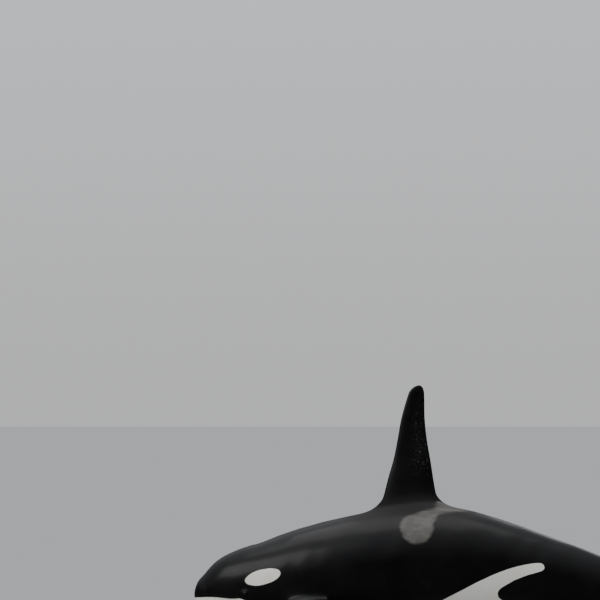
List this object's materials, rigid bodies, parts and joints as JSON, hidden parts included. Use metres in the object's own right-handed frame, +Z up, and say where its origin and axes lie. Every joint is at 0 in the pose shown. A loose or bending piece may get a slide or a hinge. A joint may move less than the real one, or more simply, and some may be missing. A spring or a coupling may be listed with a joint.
{
  "type": "orca",
  "caption": "Life-size adult male orca with a tall dorsal fin, arched as it rolls at the surface, held up by a plain display stand.",
  "frame": {"origin": "on the floor, at the middle of the underside of the stand's base", "axes": "+X from the head towards the tail, +Y towards the animal's right side, +Z up"},
  "size_m": [7.377, 3.42, 4.1944],
  "materials": {
    "black_skin": "smooth wet black skin",
    "white_skin": "smooth wet white skin",
    "grey_skin": "smooth wet grey skin, streaked",
    "eye": "glossy dark brown",
    "stand_metal": "satin powder coat",
    "stand_base": "matte textured coat"
  },
  "bodies": {
    "root": {"head": "black_skin", "blowhole": "black_skin", "shoulders": "black_skin", "back": "black_skin", "loin": "black_skin", "tail_stock": "black_skin", "dorsal_fin": "black_skin", "flipper_left": "black_skin", "flipper_right": "black_skin", "fluke_left": "black_skin", "fluke_right": "black_skin", "lower_jaw": "white_skin", "throat": "white_skin", "eye_patch_left": "white_skin", "eye_patch_right": "white_skin", "chest": "white_skin", "belly": "white_skin", "flank_patch": "white_skin", "saddle_patch": "grey_skin", "eye_left": "eye", "eye_right": "eye", "stand_base": "stand_base", "stand_flange_front": "stand_metal", "stand_rod_front": "stand_metal", "stand_cradle_front": "stand_metal", "stand_flange_rear": "stand_metal", "stand_rod_rear": "stand_metal", "stand_cradle_rear": "stand_metal"}
  },
  "joints": []
}
